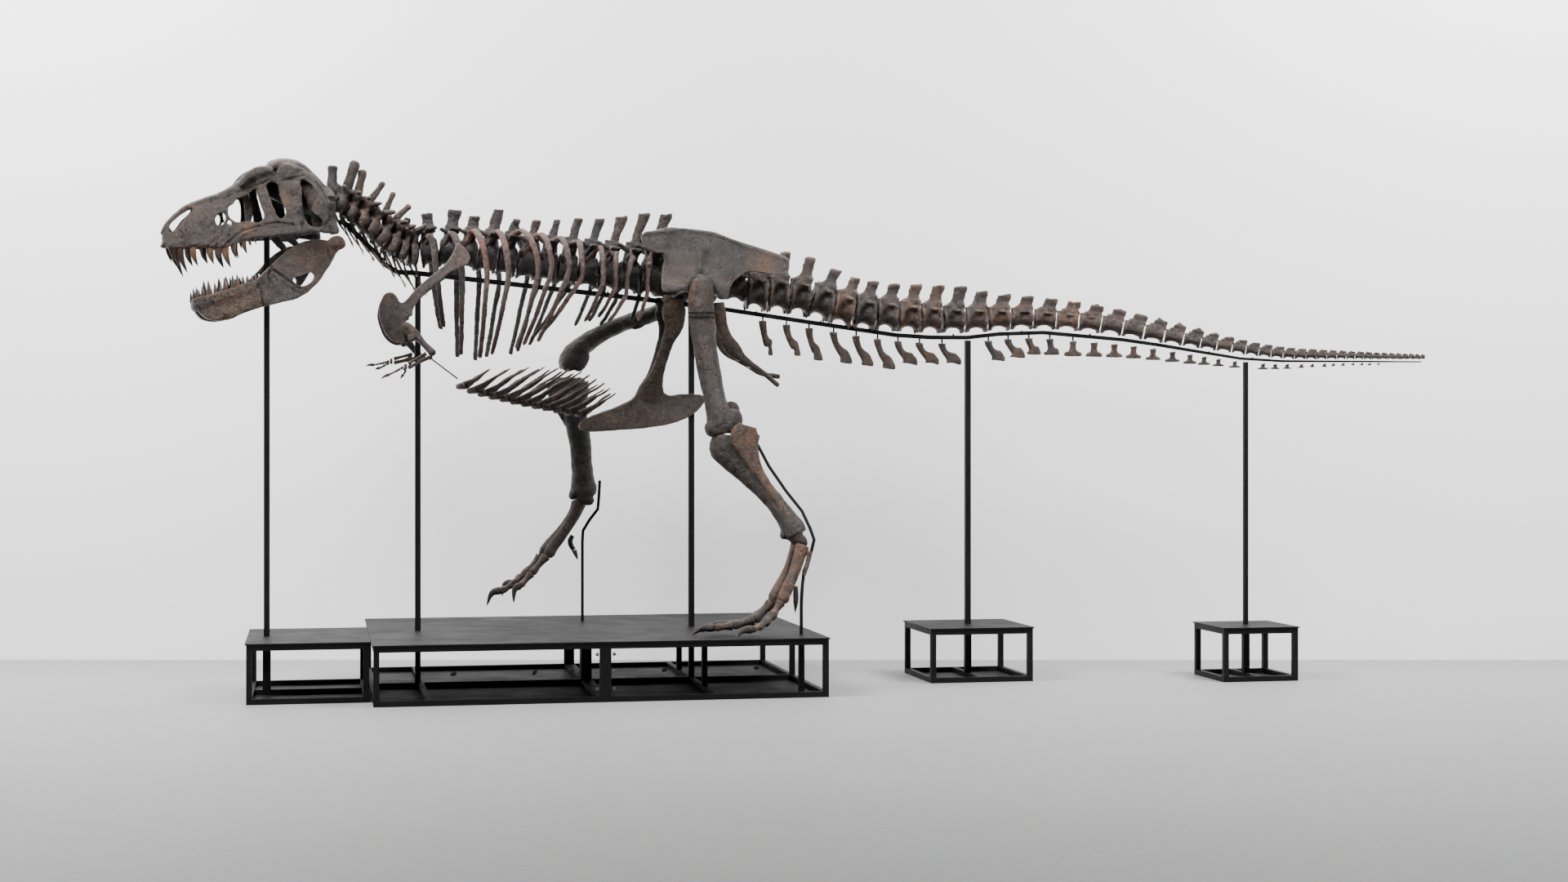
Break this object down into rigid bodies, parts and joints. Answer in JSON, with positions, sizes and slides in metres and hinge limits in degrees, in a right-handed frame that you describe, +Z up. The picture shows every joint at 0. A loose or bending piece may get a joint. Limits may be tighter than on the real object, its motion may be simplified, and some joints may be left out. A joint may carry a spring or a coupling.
{
  "type": "mounted dinosaur skeleton",
  "caption": "Life-size tyrannosaur skeleton, striding with its jaws open, held by a steel rail and poles on low black steel frames.",
  "frame": {"origin": "on the floor, under the middle of the main platform", "axes": "+X along the platform towards the tail, +Y from the animal's left side to its right, +Z up"},
  "size_m": [11.7484, 3.024, 4.815],
  "materials": {
    "fossil_bone": "satin dark brown fossil bone",
    "pale_fossil_bone": "satin brown fossil bone",
    "black_steel": "black powder coat"
  },
  "bodies": {
    "root": {"chevron_01": "fossil_bone", "chevron_02": "fossil_bone", "chevron_03": "fossil_bone", "chevron_04": "fossil_bone", "chevron_05": "fossil_bone", "chevron_06": "fossil_bone", "chevron_07": "fossil_bone", "chevron_08": "fossil_bone", "chevron_09": "fossil_bone", "chevron_10": "fossil_bone", "chevron_11": "fossil_bone", "chevron_12": "fossil_bone", "chevron_13": "fossil_bone", "chevron_14": "fossil_bone", "femur_left": "fossil_bone", "femur_right": "fossil_bone", "foot_left": "fossil_bone", "foot_right": "fossil_bone", "forearm_left": "fossil_bone", "forearm_right": "fossil_bone", "gastralia": "fossil_bone", "hallux_left": "fossil_bone", "hallux_right": "fossil_bone", "humerus_left": "fossil_bone", "humerus_right": "fossil_bone", "ilium_left": "fossil_bone", "ilium_right": "fossil_bone", "ischium": "fossil_bone", "lower_jaw": "pale_fossil_bone", "neck": "fossil_bone", "pubis": "fossil_bone", "ribcage_left": "fossil_bone", "ribcage_right": "fossil_bone", "sacrum": "fossil_bone", "scapula_left": "fossil_bone", "scapula_right": "fossil_bone", "shin_left": "fossil_bone", "shin_right": "fossil_bone", "skull": "fossil_bone", "stand_arm_rod": "black_steel", "stand_head_base": "black_steel", "stand_leg_rod_left": "black_steel", "stand_leg_rod_right": "black_steel", "stand_platform": "black_steel", "stand_pole_1": "black_steel", "stand_pole_2": "black_steel", "stand_pole_3": "black_steel", "stand_pole_4": "black_steel", "stand_pole_5": "black_steel", "stand_spine_rail": "black_steel", "stand_tail_base_1": "black_steel", "stand_tail_base_2": "black_steel", "stand_tail_rail": "black_steel", "tail_1": "fossil_bone", "tail_2": "fossil_bone", "tail_3": "fossil_bone", "tail_4": "fossil_bone"}
  },
  "joints": []
}
